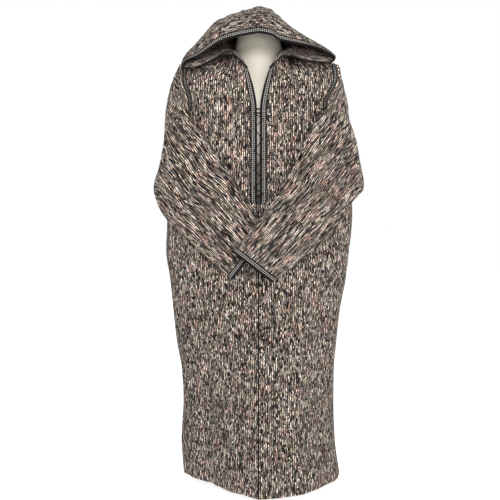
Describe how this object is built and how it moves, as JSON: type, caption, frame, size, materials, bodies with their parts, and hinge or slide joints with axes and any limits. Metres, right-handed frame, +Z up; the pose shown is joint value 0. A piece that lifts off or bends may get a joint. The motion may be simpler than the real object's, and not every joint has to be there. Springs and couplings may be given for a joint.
{
  "type": "hooded djellaba robe on a dress form",
  "caption": "Ankle-length hooded wool robe with a laced V neck, braid trim and folded sleeves, worn on a headless bust form with a pole and a round base.",
  "frame": {"origin": "on the floor, centre of the round base's underside", "axes": "+Z up, the robe faces -Y, +X towards the wearer's left"},
  "size_m": [0.714, 0.418, 1.66],
  "materials": {
    "wool": "thick crinkled wool weave in cream, pinkish beige, grey and black",
    "braid": "flat woven braid in black with small light checks",
    "lace": "round black cord",
    "form": "smooth cream moulded plastic",
    "steel": "satin steel"
  },
  "bodies": {
    "root": {"front_right": "wool", "front_left": "wool", "back": "wool", "sleeve_right": "wool", "sleeve_left": "wool", "hood_right": "wool", "hood_left": "wool", "neck_braid_right": "braid", "neck_braid_left": "braid", "rim_braid_right": "braid", "rim_braid_left": "braid", "cuff_braid_right": "braid", "cuff_braid_left": "braid", "armhole_braid_right": "braid", "armhole_braid_left": "braid", "centre_braid": "braid", "lacing": "lace", "form_bust": "form", "form_pole": "steel", "form_collar": "steel", "form_base": "steel"}
  },
  "joints": []
}
